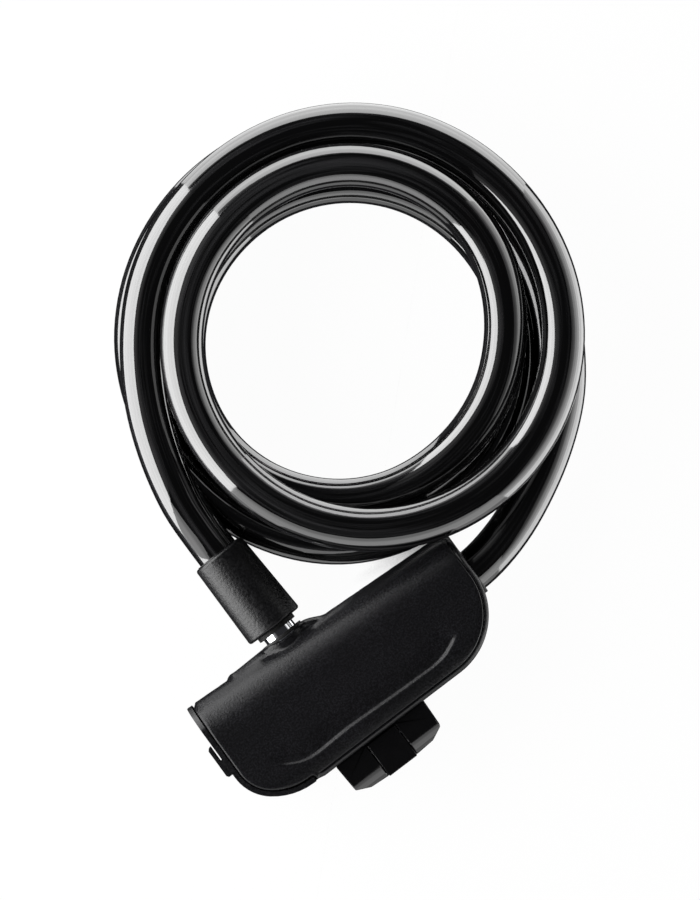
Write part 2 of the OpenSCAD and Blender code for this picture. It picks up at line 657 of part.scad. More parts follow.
// Rubber grommet in the cable end, flush outside and with a flange inside
module cable_grommet() color("#0f1011") difference() {
    union() {
        along_x([flange_x, cable_y, mid], grommet_d / 2 + flange_rim, flange_t);
        along_x([flange_x, cable_y, mid], grommet_d / 2, body_right - flange_x - run_gap);
    }
    along_x([0, cable_y, mid], cable_d / 2 + seat_gap / 2, 2 * body_right);
}

// Steel sleeve crimped on the rope, held by a cross pin
module crimp_sleeve() color("#85888c") difference() {
    along_x([crimp_start, cable_y, mid], crimp_d / 2, crimp_len);
    along_x([rope_start, cable_y, mid], rope_d / 2 + seat_gap, crimp_len);
    translate([anchor_x, cable_y, 0]) cylinder(d = anchor_d + 2 * run_gap, h = body_t);
}
module anchor_pin() color("#9a9da1") translate([anchor_x, cable_y, wall_t + end_gap])
    cylinder(d = anchor_d, h = body_t - 2 * (wall_t + end_gap));

module shell_screws() color("#55585c") for (place = screw_places) translate([place.x, place.y, 0])
    difference() {
        union() {
            translate([0, 0, head_z]) cylinder(d = head_d, h = head_h);
            translate([0, 0, seat_z - over]) cylinder(d = screw_d, h = screw_end - seat_z + over);
        }
        translate([0, 0, head_z - over]) cylinder(d = drive_d, h = 0.55 * head_h + over, $fn = 6);
    }

// Frame of the foot: its top lies on the bottom edge of the body
module in_foot() { translate([foot_x, foot_y, mid]) rotate([0, 0, bottom_tilt]) children(); }
module foot_block() {
    outer = foot_w / 2;
    shoulder = 0.77 * foot_drop;
    front = foot_depth / 2;
    intersection() {
        translate([0, 0, -front]) linear_extrude(foot_depth) polygon([
            [-outer, 0], [-outer + 0.4, -shoulder], [-outer + 4.4, -0.95 * foot_drop],
            [-tongue_w / 2, 0.1 - foot_drop], [tongue_w / 2, 0.1 - foot_drop],
            [outer - 4.4, -0.95 * foot_drop], [outer - 0.4, -shoulder], [outer, 0]]);
        translate([-foot_w, 0, 0]) rotate([90, 0, 90]) linear_extrude(2 * foot_w) polygon([
            [0, -front], [0, front], [-foot_drop + 1.2 * foot_edge, front], [-foot_drop, front - foot_edge],
            [-foot_drop, foot_edge - front], [-foot_drop + 1.2 * foot_edge, -front]]);
    }
}
module mount_foot() color("#0b0b0c") in_foot() difference() {
    union() {
        foot_block();
        translate([-neck.x / 2, -neck_y, -neck.z / 2]) cube(neck);
        translate([-flange.x / 2, wall_t + seat_gap, -flange.z / 2]) cube(flange);
    }
    translate([-tongue_w / 2 - tongue_gap, -foot_drop - over, tongue_back - tongue_room])
        cube([tongue_w + 2 * tongue_gap, foot_drop + over, foot_depth]);
    along_x([-tongue_w / 2 - pin_hold - end_gap, tongue_pivot.x, tongue_pivot.y], tongue_pin_d / 2 + 0.02,
        tongue_w + 2 * (pin_hold + end_gap));
    translate([0, spring_y, tongue_back - spring_len - 2 * spring_gap])
        cylinder(d = spring_d + 4 * spring_gap, h = spring_len);
}
module foot_tongue() color("#0b0b0c") in_foot() difference() {
    bevel = 0.6;
    translate([-tongue_w / 2, 0, 0]) rotate([90, 0, 90]) linear_extrude(tongue_w) polygon([
        [-bevel / 2, tongue_back], [-bevel / 2, tongue_front - bevel], [-bevel, tongue_front],
        [bevel - foot_drop, tongue_front], [-foot_drop, tongue_front - bevel], [-foot_drop, tongue_back]]);
    along_x([-foot_w, tongue_pivot.x, tongue_pivot.y], tongue_pin_d / 2 + run_gap, 2 * foot_w);
}
module tongue_pin() color("#a8a9ac") in_foot()
    along_x([-tongue_w / 2 - pin_hold, tongue_pivot.x, tongue_pivot.y], tongue_pin_d / 2,
        tongue_w + 2 * pin_hold);
module tongue_spring() color("#a8a9ac") in_foot()
    translate([0, spring_y, tongue_back - spring_len - spring_gap]) difference() {
        cylinder(d = spring_d, h = spring_len);
        translate([0, 0, -over]) cylinder(d = spring_d - 1.2, h = spring_len + 2 * over);
    }

// The cable: a sheath over a steel rope, in three stretches that meet face to face
module sheath(from, to, sides) color("#0a0a0b") swept(from, to, cable_d / 2, rope_d / 2 + 0.2, sides);
module rope(from, to, sides) color("#9c9fa3") swept(from, to, rope_d / 2, 0, sides);
module cable_coil() sheath(coil_from, coil_to, 6);
module cable_body_end() sheath(1, coil_from, 8);
module cable_bolt_end() sheath(coil_to, route_end - 1, 8);
module rope_coil() rope(coil_from, coil_to, 6);
module rope_body_end() rope(0, coil_from, 8);
module rope_bolt_end() rope(coil_to, route_end, 8);

front_shell();
rear_shell();
dust_cover();
dust_cover_pin();
drill_guard();
lock_core();
cylinder_barrel();
cylinder_plug();
wafers();
tail_clip();
cam_disc();
bolt_bush();
bolt_seal();
lock_bolt();
bolt_collar();
rope_socket();
ferrule_shell();
ferrule_lip();
cable_grommet();
crimp_sleeve();
anchor_pin();
shell_screws();
mount_foot();
foot_tongue();
tongue_pin();
tongue_spring();
cable_coil();
cable_body_end();
cable_bolt_end();
rope_coil();
rope_body_end();
rope_bolt_end();
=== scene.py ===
from math import cos, floor, pi, radians, sin, sqrt

import bmesh
import bpy
from mathutils import Matrix, Vector
from mathutils.bvhtree import BVHTree
from mathutils.kdtree import KDTree


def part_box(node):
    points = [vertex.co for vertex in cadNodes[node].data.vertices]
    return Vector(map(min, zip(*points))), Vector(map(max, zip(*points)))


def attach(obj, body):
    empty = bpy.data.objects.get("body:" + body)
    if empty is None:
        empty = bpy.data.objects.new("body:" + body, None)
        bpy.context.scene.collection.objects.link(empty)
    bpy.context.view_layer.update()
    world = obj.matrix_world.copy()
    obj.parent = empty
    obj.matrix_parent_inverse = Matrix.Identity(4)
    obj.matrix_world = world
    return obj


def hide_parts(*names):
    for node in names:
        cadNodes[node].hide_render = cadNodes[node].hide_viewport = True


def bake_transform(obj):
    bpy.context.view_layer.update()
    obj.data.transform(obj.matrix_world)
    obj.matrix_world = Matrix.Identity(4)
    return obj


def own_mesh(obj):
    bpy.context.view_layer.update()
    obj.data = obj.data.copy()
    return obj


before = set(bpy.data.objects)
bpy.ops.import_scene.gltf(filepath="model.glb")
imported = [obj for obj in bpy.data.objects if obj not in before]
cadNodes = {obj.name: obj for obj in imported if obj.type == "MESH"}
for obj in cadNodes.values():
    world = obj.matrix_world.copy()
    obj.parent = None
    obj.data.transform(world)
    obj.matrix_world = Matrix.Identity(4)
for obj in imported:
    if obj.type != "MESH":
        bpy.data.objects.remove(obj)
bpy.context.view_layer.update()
scene = bpy.context.scene
scene.view_settings.view_transform = "Standard"
mm = 0.001
print("frame loaded:", len(cadNodes), "nodes")


def asObject(name, data):
    # a new object at the origin that holds a mesh, a curve, a lamp or a camera
    made = bpy.data.objects.new(name, data)
    scene.collection.objects.link(made)
    return made


def asMesh(name, shape):
    # a finished bmesh as a new mesh
    mesh = bpy.data.meshes.new(name)
    shape.to_mesh(mesh)
    shape.free()
    return mesh


def finishedMesh(source, name):
    # what an object looks like after its modifiers, as a new mesh in its place
    bpy.context.view_layer.update()
    mesh = bpy.data.meshes.new_from_object(source.evaluated_get(bpy.context.evaluated_depsgraph_get()))
    mesh.name = name
    bpy.data.objects.remove(source)
    return mesh


# The camera looks straight down from high above, and is turned so that the lock body lies aslant.
# Its picture is "tall" millimetres high at the level of the body's seam.
cameraSetup = {"over": (35.44, 50.18), "height": 2000, "turn": -36, "seamLevel": 13, "tall": 247.93,
               "sensor": 36, "seesTo": 20}
aslant = radians(cameraSetup["turn"])
toSeam = cameraSetup["height"] - cameraSetup["seamLevel"]
cameraData = bpy.data.cameras.new("camera")
cameraData.sensor_width = cameraSetup["sensor"]
cameraData.lens = cameraSetup["sensor"] * toSeam / cameraSetup["tall"]
cameraData.clip_end = cameraSetup["seesTo"]
camera = asObject("camera", cameraData)
camera.location = [v * mm for v in (*cameraSetup["over"], cameraSetup["height"])]
camera.rotation_euler = (0, 0, aslant)
scene.camera = camera
pictureRight = Vector((cos(aslant), sin(aslant), 0))
pictureUp = Vector((-pictureRight.y, pictureRight.x, 0))
print("camera placed")

# Where the cable runs, in millimetres, as the solids have it. The grooves between the rope's strands go in
# by a share of its radius.
cableSetup = {
    "diameter": 12, "sides": 40, "spacing": 2.5, "sharp": 50, "mergeWithin": 0.0005,
    "ropeDiameter": 7.6, "ropeSides": 36, "ropeLay": 52, "strands": 6, "grooves": 0.09,
    "outlet": (43.5, 3.8, 13), "sheathStart": (29.5, 3.8, 13), "ropeStart": 22.3,
    "bodyRoute": [(46.5, 3.8, 13), (58, 6.6, 13.4), (70, 11.9, 12), (82, 19.3, 10.6), (92.6, 28.6, 9.4)],
    "coilMiddle": (53.3, 74.7), "coilStart": -36, "eighthTurn": 45, "ringsAnEighth": 3,
    "coilRadii": [58.7, 57.5, 57.9, 58.7, 59.3, 57.6, 55.9, 50.5, 46.4, 44.4, 43.9, 44.4, 45.9, 46.2, 44.1,
                  41.8, 42.6, 46.2, 47.8, 46.6, 46.2, 47.8, 51.9, 55.9, 58.4, 58.8, 59.1, 57.6, 57.3],
    "coilHeights": [8.6, 6.8, 6, 6, 6, 6, 6, 6, 6, 6, 6, 6, 7, 11.9, 13.2, 17.2, 20.5, 23.5, 24.9, 25.2,
                    25.1, 25, 24.8, 23.6, 21.6, 19.7, 18.6, 18.5, 18.6],
    "boltRoute": [(-1.3, 95.3, 18.7), (-7.6, 79, 18.3), (-9.7, 70, 17.6), (-10.7, 63, 16),
                  (-10.8, 57, 14.6)],
    "boltAxis": (-9.2, 5, 13), "boltLean": 2, "ferruleMouth": 48.4, "straightBefore": 3,
    "sheathStop": 40.05, "ropeStop": 31.1,
}
drawIn, letOut = 0.5, -0.515  # how far a smoothing round moves a line, in and then out again


def onBolt(y):
    x0, y0, z0 = cableSetup["boltAxis"]
    lean = radians(cableSetup["boltLean"])
    return (x0 - (y - y0) * sin(lean), y0 + (y - y0) * cos(lean), z0)


def throughList(values, s):
    # a smooth value between the list's own
    i = min(floor(s), len(values) - 2)
    f = s - i
    a, b, c, d = (values[min(max(i + k, 0), len(values) - 1)] for k in (-1, 0, 1, 2))
    return 0.5 * (2 * b + (c - a) * f + (2 * a - 5 * b + 4 * c - d) * f * f
                  + (3 * b - a - 3 * c + d) * f ** 3)


def coilPoint(s):
    r = throughList(cableSetup["coilRadii"], s)
    angle = radians(cableSetup["coilStart"] + cableSetup["eighthTurn"] * s)
    x0, y0 = cableSetup["coilMiddle"]
    return (x0 + r * cos(angle), y0 + r * sin(angle), throughList(cableSetup["coilHeights"], s))


def smoothPath(points, spacing, rounds=6):
    # an even, smoothed line through the points: each round draws it in and then lets it out again
    points = [Vector(p) for p in points]
    gaps = [(b - a).length for a, b in zip(points, points[1:])]
    last = len(points) - 1
    slopes = []
    for i in range(last + 1):
        if i in (0, last):
            j = min(i, last - 1)
            slopes.append((points[j + 1] - points[j]) / gaps[j])
        else:
            before, after = gaps[i - 1], gaps[i]
            slopes.append(((points[i + 1] - points[i]) / after * before
                           + (points[i] - points[i - 1]) / before * after) / (before + after))
    line = []
    for i in range(last):
        steps = max(2, round(gaps[i] / spacing))
        for k in range(steps):
            f = k / steps
            line.append((2 * f ** 3 - 3 * f * f + 1) * points[i] + (3 * f * f - 2 * f ** 3) * points[i + 1]
                        + (f ** 3 - 2 * f * f + f) * gaps[i] * slopes[i]
                        + (f ** 3 - f * f) * gaps[i] * slopes[i + 1])
    line.append(points[last])
    for pull in (drawIn, letOut) * rounds:
        line = line[:2] + [line[i] + pull * ((line[i - 1] + line[i + 1]) / 2 - line[i])
                           for i in range(2, len(line) - 2)] + line[-2:]
    return line


def sweptPiece(name, line, radius, sides, strands=0, lay=0):
    # a closed tube, or a rope of twisted strands, along the line
    curve = bpy.data.curves.new(name + "Line", "CURVE")
    curve.dimensions = "3D"
    spline = curve.splines.new("POLY")
    spline.points.add(len(line) - 1)
    travelled = 0
    for i, p in enumerate(line):
        if i:
            travelled += (p - line[i - 1]).length
        spline.points[i].co = (*(p * mm), 1)
        spline.points[i].tilt = 2 * pi * travelled / lay if lay else 0
    curve.use_fill_caps = True
    profile = None
    if strands:
        section = bpy.data.curves.new(name + "Section", "CURVE")
        section.dimensions = "2D"
        ring = section.splines.new("POLY")
        ring.points.add(sides - 1)
        ring.use_cyclic_u = True
        for k in range(sides):
            angle = 2 * pi * k / sides
            r = radius - cableSetup["grooves"] * radius * (1 - abs(cos(strands * angle / 2)))
            ring.points[k].co = (r * cos(angle) * mm, r * sin(angle) * mm, 0, 1)
        profile = asObject(name + "Section", section)
        curve.bevel_mode = "OBJECT"
        curve.bevel_object = profile
    else:
        curve.bevel_depth = radius * mm
        curve.bevel_resolution = sides // 4 - 1
    mesh = finishedMesh(asObject(name + "Line", curve), name)
    if profile:
        bpy.data.objects.remove(profile)
    shape = bmesh.new()
    shape.from_mesh(mesh)
    bmesh.ops.remove_doubles(shape, verts=shape.verts, dist=cableSetup["mergeWithin"] * mm)
    bmesh.ops.recalc_face_normals(shape, faces=shape.faces)
    shape.to_mesh(mesh)
    shape.free()
    mesh.shade_smooth()
    mesh.set_sharp_from_angle(angle=radians(cableSetup["sharp"]))
    layWay(mesh, line)
    return asObject(name, mesh)


def layWay(mesh, line):
    # writes each point's place along and across the cable, in metres, for patterns that run with it
    tree = KDTree(len(line))
    travelled = [0]
    for i, p in enumerate(line):
        tree.insert(p * mm, i)
        if i:
            travelled.append(travelled[-1] + (p - line[i - 1]).length * mm)
    tree.balance()
    values = []
    for v in mesh.vertices:
        place, i, _ = tree.find(v.co)
        way = (line[min(i + 1, len(line) - 1)] - line[max(i - 1, 0)]).normalized()
        side = Vector((0, 0, 1)).cross(way).normalized()
        offset = v.co - place
        values += [travelled[i] + offset.dot(way), offset.dot(side), offset.dot(way.cross(side))]
    mesh.attributes.new("cableWay", "FLOAT_VECTOR", "POINT").data.foreach_set("vector", values)


rings = (len(cableSetup["coilRadii"]) - 1) * cableSetup["ringsAnEighth"]
coilPoints = [coilPoint(i / cableSetup["ringsAnEighth"]) for i in range(rings + 1)]
wholeRoute = [(cableSetup["ropeStart"], *cableSetup["outlet"][1:]), cableSetup["sheathStart"],
              *cableSetup["bodyRoute"], *coilPoints, *cableSetup["boltRoute"],
              onBolt(cableSetup["ferruleMouth"] + cableSetup["straightBefore"]),
              onBolt(cableSetup["sheathStop"]), onBolt(cableSetup["ropeStop"])]
wholeLine = smoothPath(wholeRoute, cableSetup["spacing"])


def nearest(point):
    return min(range(len(wholeLine)), key=lambda i: (wholeLine[i] - Vector(point)).length)


def lineLength(line):
    return sum((b - a).length for a, b in zip(line, line[1:])) * mm


split = nearest(coilPoints[0])
sheathFrom, sheathTo = nearest(cableSetup["sheathStart"]), nearest(onBolt(cableSetup["sheathStop"]))
leadInLine, coilLine = wholeLine[sheathFrom:split + 1], wholeLine[split:sheathTo + 1]
sheath = (cableSetup["diameter"] / 2, cableSetup["sides"])
rope = (cableSetup["ropeDiameter"] / 2, cableSetup["ropeSides"], cableSetup["strands"], cableSetup["ropeLay"])
leadIn = sweptPiece("cableLeadIn", leadInLine, *sheath)
coil = sweptPiece("cableCoil", coilLine, *sheath)
ropeLeadIn = sweptPiece("ropeLeadIn", wholeLine[:split + 1], *rope)
ropeCoil = sweptPiece("ropeCoil", wholeLine[split:], *rope)

for piece, slotName, standsFor in ((leadIn, "cable_sheath", ["cable_body_end"]),
                                   (ropeLeadIn, "rope_steel", ["rope_body_end"])):
    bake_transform(piece)
    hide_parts(*standsFor)
for piece, slotName, standsFor in ((coil, "cable_sheath", ["cable_coil", "cable_bolt_end"]),
                                   (ropeCoil, "rope_steel", ["rope_coil", "rope_bolt_end"])):
    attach(piece, "cable_and_bolt")
    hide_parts(*standsFor)
print("cable laid:", round(lineLength(wholeLine[sheathFrom:sheathTo + 1]), 4), "m")


# The lock body. Both shells are drawn over the outline of the solids: a soft outer form for each is trimmed
# to the solid, which gives the ribs, posts and holes. Heights are counted outwards from the seam.
bodySetup = {
    "seam": 13, "left": -41.1, "right": 43.5, "ends": (-42.8, 43.5), "topEdge": (19, 16.6),
    "bottomEdge": (-18.5, -16.6), "keyCorner": (-30.3, -3.92), "keyRadius": 10.8, "keyBend": 52,
    "runOut": (-26.3, 1.2), "runOutRadius": 17.3, "ledge": -16.1, "ear": (-25, -17.8), "earRadius": 1.4,
    "earTurn": 262, "earEnd": 2.4, "cableCorner": 20, "topCorner": 2, "keyCut": 1, "leastRound": 0.04,
    "inside": 0.05, "seamChamfer": 0.22, "wallEdge": 0.3, "pastSeam": 0.1, "cutWithin": 0.001, "sharp": 38,
    # how many steps each stretch of the outline has
    "steps": {"keyEnd": 24, "keyCorner": 24, "runOut": 16, "ledge": 3, "ear": 8, "lowSide": 50,
              "cableCorner": 60, "cableEnd": 14, "topCorner": 8, "topSide": 150},
    # how far the boss round the bolt stands over the top edge, and where its long slope melts into the body
    "boss": [(-29.5, 0), (-28.9, 0.45), (-28.3, 0.82), (-26, 0.95), (-20, 1.4), (-14, 1.85), (-9.2, 2.14),
             (-5, 2.14), (-2, 1.95), (-0.3, 1.4), (1.2, 0.75), (2.5, 0.25), (3.8, 0)],
    "bossHeight": 4.35, "bossRound": 2.6, "bossFoot": 0.35, "boltAt": -9.7, "boltWall": 7.2,
    "collarRound": 0.8, "blend": 0.25, "slopeBlend": 1.5, "slopeEnds": (-24, -13), "fillEnds": (-31, -27),
    "crease": [(-34, -3.4), (-33.6, -4.1), (-32.7, -5.2), (-31.6, -6.4), (-29.1, -8.35), (-26.1, -10),
               (-23.4, -10.8), (-20.3, -11), (-15.3, -10.7), (-9, -10.4), (-1, -10.5), (7.1, -10.6),
               (14, -10.6), (20, -10.5), (23.2, -9.9), (25.9, -8.8), (28.3, -7.5), (30.2, -6)],
    "creaseWall": 1.15, "creaseRun": 6, "creaseFades": (6, 4.5),
    "depths": [0.04, 0.12, 0.3, 0.55, 0.85, 1.2, 1.35, 1.5, 1.65, 1.8],
    "cutsBelowTop": [-0.3, -0.1, 0.05, 0.2, 0.35, 0.5, 0.7, 1, 1.4, 1.85, 2.5, 3.4, 4.5, 6, 8, 10, 12],
}
evenColumns = [-40 + 1.5 * i for i in range(55)]  # from the key end to the cable end
shellSetup = [
    {"name": "frontShell", "node": "front_shell", "side": 1, "round": 12, "crease": 0.8,
     "band": [(0, 1.65), (0.8, 1.42), (3.5, 0.6), (4.6, 0.26), (5.4, 0.06), (6.4, 0)],
     "lowEdge": [(0, 1.95), (0.1, 1.48), (0.25, 1.17), (0.55, 0.86), (0.85, 0.65), (1.2, 0.5), (1.35, 0.8),
                 (1.5, 0.74), (1.65, 0.2), (1.8, 0.1), (2.4, 0)],
     "keyEdge": [(0, 0.5), (0.12, 0.26), (0.3, 0.1), (0.55, 0)],
     # where the face is cut into rows and columns, closest along the crease and its ends
     "rows": [3, 4, 4.8, *[5.4 + 0.24 * i for i in range(16)], *[9.5 + 0.4 * i for i in range(12)],
              16.5, 18.5, 21],
     "columns": [*evenColumns, *[-35.3 + 0.5 * i for i in range(27)], *[19.2 + 0.5 * i for i in range(22)]]},
    {"name": "rearShell", "node": "rear_shell", "side": -1, "round": 6, "crease": 0,
     "band": [(0, 1.45), (1.2, 0.22), (1.6, 0.05), (2, 0)],
     "lowEdge": [(0, 0.6), (0.12, 0.36), (0.3, 0.18), (0.7, 0.04), (1, 0)],
     "keyEdge": [(0, 0.5), (0.12, 0.26), (0.3, 0.1), (0.55, 0)],
     "rows": [3.4, 5.4, 9, 13, 17, 21], "columns": evenColumns},
]


def between(pair, x):
    # the height of a straight edge of the body at x
    x0, x1 = bodySetup["ends"]
    return pair[0] + (pair[1] - pair[0]) * (x - x0) / (x1 - x0)


def acrossEdge(pair):
    # the level direction square to a straight edge of the body
    x0, x1 = bodySetup["ends"]
    slope = Vector((x1 - x0, pair[1] - pair[0], 0)).normalized()
    return Vector((-slope.y, slope.x, 0))


def readOff(curve, x):
    # the value at x of a list of (x, value)
    if x <= curve[0][0]:
        return curve[0][1]
    for (x0, y0), (x1, y1) in zip(curve, curve[1:]):
        if x <= x1:
            return y0 + (y1 - y0) * (x - x0) / (x1 - x0)
    return curve[-1][1]


def smoothStep(low, high, x):
    t = min(max((x - low) / (high - low), 0), 1)
    return t * t * (3 - 2 * t)


def span(start, end, count):
    return [Vector(start).lerp(Vector(end), i / count) for i in range(count)]


def arcPoints(middle, r, start, end, count):
    return [Vector((middle[0] + r * cos(radians(start + (end - start) * i / count)),
                    middle[1] + r * sin(radians(start + (end - start) * i / count)))) for i in range(count)]


bossCurve = [(p.x, p.y) for p in smoothPath([(x, y, 0) for x, y in bodySetup["boss"]], 0.4, rounds=2)]


def outlineAt(depth):
    # the body's outline, drawn in by a depth, in stretches: key end, lower side with the cable end, top edge
    b = bodySetup
    steps = b["steps"]
    inset = b["inside"] + depth
    left, right, ledge = b["left"] + inset, b["right"] - inset, b["ledge"] + inset
    keyEnd = span((left, between(b["topEdge"], left) - b["keyCut"] - inset), (left, b["keyCorner"][1]),
                  steps["keyEnd"])
    keyEnd += arcPoints(b["keyCorner"], b["keyRadius"] - inset, 180, 180 + b["keyBend"], steps["keyCorner"])
    keyEnd += arcPoints(b["runOut"], b["runOutRadius"] - inset, 180 + b["keyBend"], 270, steps["runOut"])
    earLeft, earLow = b["ear"][0] + inset, b["ear"][1] + inset
    earRound = max(b["earRadius"] - inset, b["leastRound"])
    earEnd = b["ear"][0] + b["earEnd"]
    keyEnd += span((b["runOut"][0], ledge), (earLeft, ledge), steps["ledge"])
    keyEnd += arcPoints((earLeft + earRound, earLow + earRound), earRound, 180, b["earTurn"], steps["ear"])
    r = b["cableCorner"] - inset
    low = b["right"] - b["cableCorner"]
    lowY = between(b["bottomEdge"], low) + b["cableCorner"]
    lowSide = span((earEnd, between(b["bottomEdge"], earEnd) + inset), (low, lowY - r), steps["lowSide"])
    lowSide += arcPoints((low, lowY), r, -90, 0, steps["cableCorner"])
    cornerRound = max(b["topCorner"] - inset, b["leastRound"])
    topY = between(b["topEdge"], right) - inset - cornerRound
    lowSide += span((right, lowY), (right, topY), steps["cableEnd"])
    lowSide += arcPoints((right - cornerRound, topY), cornerRound, 0, 90, steps["topCorner"])
    topSide = []
    start, end = right - cornerRound, left + b["keyCut"]
    for i in range(steps["topSide"] + 1):
        x = start + (end - start) * i / steps["topSide"]
        topSide.append(Vector((x, between(b["topEdge"], x) - inset + readOff(bossCurve, x))))
    return keyEnd, lowSide, topSide


def ribbon(points):
    # an upright strip through the points, to measure distances from
    rings = [[Vector((p.x, p.y, z)) for p in points] for z in (-1, 1)]
    faces = [(i, i + 1, len(points) + i + 1, len(points) + i) for i in range(len(points) - 1)]
    return BVHTree.FromPolygons(rings[0] + rings[1], faces)


keyEnd, lowSide, topSide = outlineAt(0)
keyRibbon = ribbon(keyEnd + lowSide[:1])
lowRibbon = ribbon(lowSide + topSide[:1])
topRibbon = ribbon(topSide)
creaseLine = smoothPath([(x, y, 0) for x, y in bodySetup["crease"]], 0.5, rounds=3)
creaseRibbon = ribbon([p.to_2d() for p in creaseLine])
creaseLow, creaseHigh = bodySetup["crease"][0][0], bodySetup["crease"][-1][0]


def quarterRound(distance, r):
    # how high a rounded edge has risen, as a share, at a distance from where it starts
    t = 1 - min(max(distance / r, 0), 1)
    return sqrt(max(1 - t * t, 0))


def shellHeight(shell, x, y):
    b = bodySetup
    spot = Vector((x, y, 0))
    toTop = between(b["topEdge"], x) - b["inside"] - y
    face = b["seam"] - shell["round"]
    rim = face + shell["round"] * quarterRound(toTop, shell["round"]) if toTop >= 0 else 0
    collar = sqrt(max(b["boltWall"] ** 2 - (x - b["boltAt"]) ** 2, 0)) - b["bossFoot"]
    edge = topRibbon.find_nearest(spot)[3]
    boss = b["bossFoot"] + max(b["bossHeight"] * quarterRound(edge, b["bossRound"]),
                               collar * quarterRound(edge, b["collarRound"]))
    blend = b["blend"] + b["slopeBlend"] * (1 - smoothStep(*b["slopeEnds"], x))
    share = min(max(0.5 + 0.5 * (rim - boss) / blend, 0), 1)
    height = boss + (rim - boss) * share + blend * share * (1 - share) * smoothStep(*b["fillEnds"], x)
    height -= readOff(shell["band"], y - b["inside"] - between(b["bottomEdge"], x))
    height -= readOff(shell["lowEdge"], lowRibbon.find_nearest(spot)[3])
    height -= readOff(shell["keyEdge"], keyRibbon.find_nearest(spot)[3])
    if shell["crease"]:
        place, _, _, away = creaseRibbon.find_nearest(spot)
        above = away if y > place.y else -away
        wall = smoothStep(-b["creaseWall"], 0, above) * (1 - smoothStep(0, b["creaseRun"], above))
        fadeIn, fadeOut = b["creaseFades"]
        ends = smoothStep(creaseLow, creaseLow + fadeIn, place.x)
        ends *= 1 - smoothStep(creaseHigh - fadeOut, creaseHigh, place.x)
        height -= shell["crease"] * wall * ends
    return height - b["inside"]


def cutRows(shape, faces, point, normal):
    # cuts the faces along a line and returns them all
    geometry = list({item for face in faces for item in (face, *face.edges, *face.verts)})
    made = bmesh.ops.bisect_plane(shape, geom=geometry, dist=bodySetup["cutWithin"], plane_co=point,
                                  plane_no=normal)
    return [item for item in made["geom"] if isinstance(item, bmesh.types.BMFace)]


def extrudeLoop(shape, loop, places):
    # a strip from a closed loop of vertices to new places, vertex by vertex
    edges = [shape.edges.get((a, b)) for a, b in zip(loop, loop[1:] + loop[:1])]
    made = bmesh.ops.extrude_edge_only(shape, edges=edges)
    new = {item for item in made["geom"] if isinstance(item, bmesh.types.BMVert)}
    nextLoop = []
    for v, place in zip(loop, places):
        moved = next(edge.other_vert(v) for edge in v.link_edges if edge.other_vert(v) in new)
        moved.co = place
        nextLoop.append(moved)
    return nextLoop


copySetup = {"mergeWithin": 0.002, "flatWithin": 0.4, "shortestEdge": 0.25}


def mergedCopy(node, name):
    # a CAD node's own shape as one joined mesh
    mesh = cadNodes[node].data.copy()
    mesh.name = name
    shape = bmesh.new()
    shape.from_mesh(mesh)
    bmesh.ops.remove_doubles(shape, verts=shape.verts, dist=copySetup["mergeWithin"] * mm)
    bmesh.ops.dissolve_limit(shape, angle_limit=radians(copySetup["flatWithin"]), verts=shape.verts,
                             edges=shape.edges)
    shape.to_mesh(mesh)
    shape.free()
    return asObject(name, mesh)


def evenShading(piece, sharp):
    # smooth but for its sharp edges, and flat where it is flat
    piece.data.shade_smooth()
    piece.data.set_sharp_from_angle(angle=radians(sharp))
    even = piece.modifiers.new("evenShading", "WEIGHTED_NORMAL")
    even.keep_sharp = True


def trimTo(form, solid, name):
    # what the form and the solid share, as a new piece
    trim = form.modifiers.new("trimToSolid", "BOOLEAN")
    trim.operation = "INTERSECT"
    trim.solver = "MANIFOLD"
    trim.object = solid
    mesh = finishedMesh(form, name)
    bpy.data.objects.remove(solid)
    return asObject(name, mesh)


def shellPiece(shell):
    b = bodySetup
    seam, side, chamfer = b["seam"], shell["side"], b["seamChamfer"]
    shape = bmesh.new()
    outer = [shape.verts.new((p.x, p.y, 0)) for p in sum(outlineAt(0), [])]
    for v, following in zip(outer, outer[1:] + outer[:1]):
        shape.edges.new((v, following))
    loop = outer
    for depth in b["depths"]:
        loop = extrudeLoop(shape, loop, [Vector((p.x, p.y, 0)) for p in sum(outlineAt(depth), [])])
    faces = [shape.faces.new(loop)]
    for down in b["cutsBelowTop"]:
        faces = cutRows(shape, faces, (b["ends"][0], b["topEdge"][0] - down, 0), acrossEdge(b["topEdge"]))
    for up in shell["rows"]:
        faces = cutRows(shape, faces, (b["ends"][0], b["bottomEdge"][0] + up, 0), acrossEdge(b["bottomEdge"]))
    for x in shell["columns"]:
        faces = cutRows(shape, faces, (x, 0, 0), (1, 0, 0))
    for v in shape.verts:
        v.co.z = seam + side * shellHeight(shell, v.co.x, v.co.y)
    drawnIn = sum(outlineAt(chamfer), [])
    # the wall goes down from the outer edge to the seam, turns in by the chamfer and ends just past it
    edge = [min(b["wallEdge"], abs(v.co.z - seam) / 3) for v in outer]
    under = [Vector((v.co.x, v.co.y, v.co.z - side * e)) for v, e in zip(outer, edge)]
    loop = extrudeLoop(shape, outer, under)
    loop = extrudeLoop(shape, loop, [Vector((v.co.x, v.co.y, seam + side * chamfer)) for v in outer])
    loop = extrudeLoop(shape, loop, [Vector((p.x, p.y, seam)) for p in drawnIn])
    loop = extrudeLoop(shape, loop, [Vector((p.x, p.y, seam - side * b["pastSeam"])) for p in drawnIn])
    shape.faces.new(loop)
    bmesh.ops.scale(shape, verts=shape.verts, vec=(mm, mm, mm))
    bmesh.ops.recalc_face_normals(shape, faces=shape.faces)
    form = asObject(shell["name"] + "Form", asMesh(shell["name"] + "Form", shape))
    piece = trimTo(form, mergedCopy(shell["node"], shell["name"] + "Solid"), shell["name"])
    evenShading(piece, b["sharp"])
    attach(piece, "lock_body")
    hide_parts(shell["node"])
    print(shell["name"], "made:", len(piece.data.polygons), "faces")
    return piece


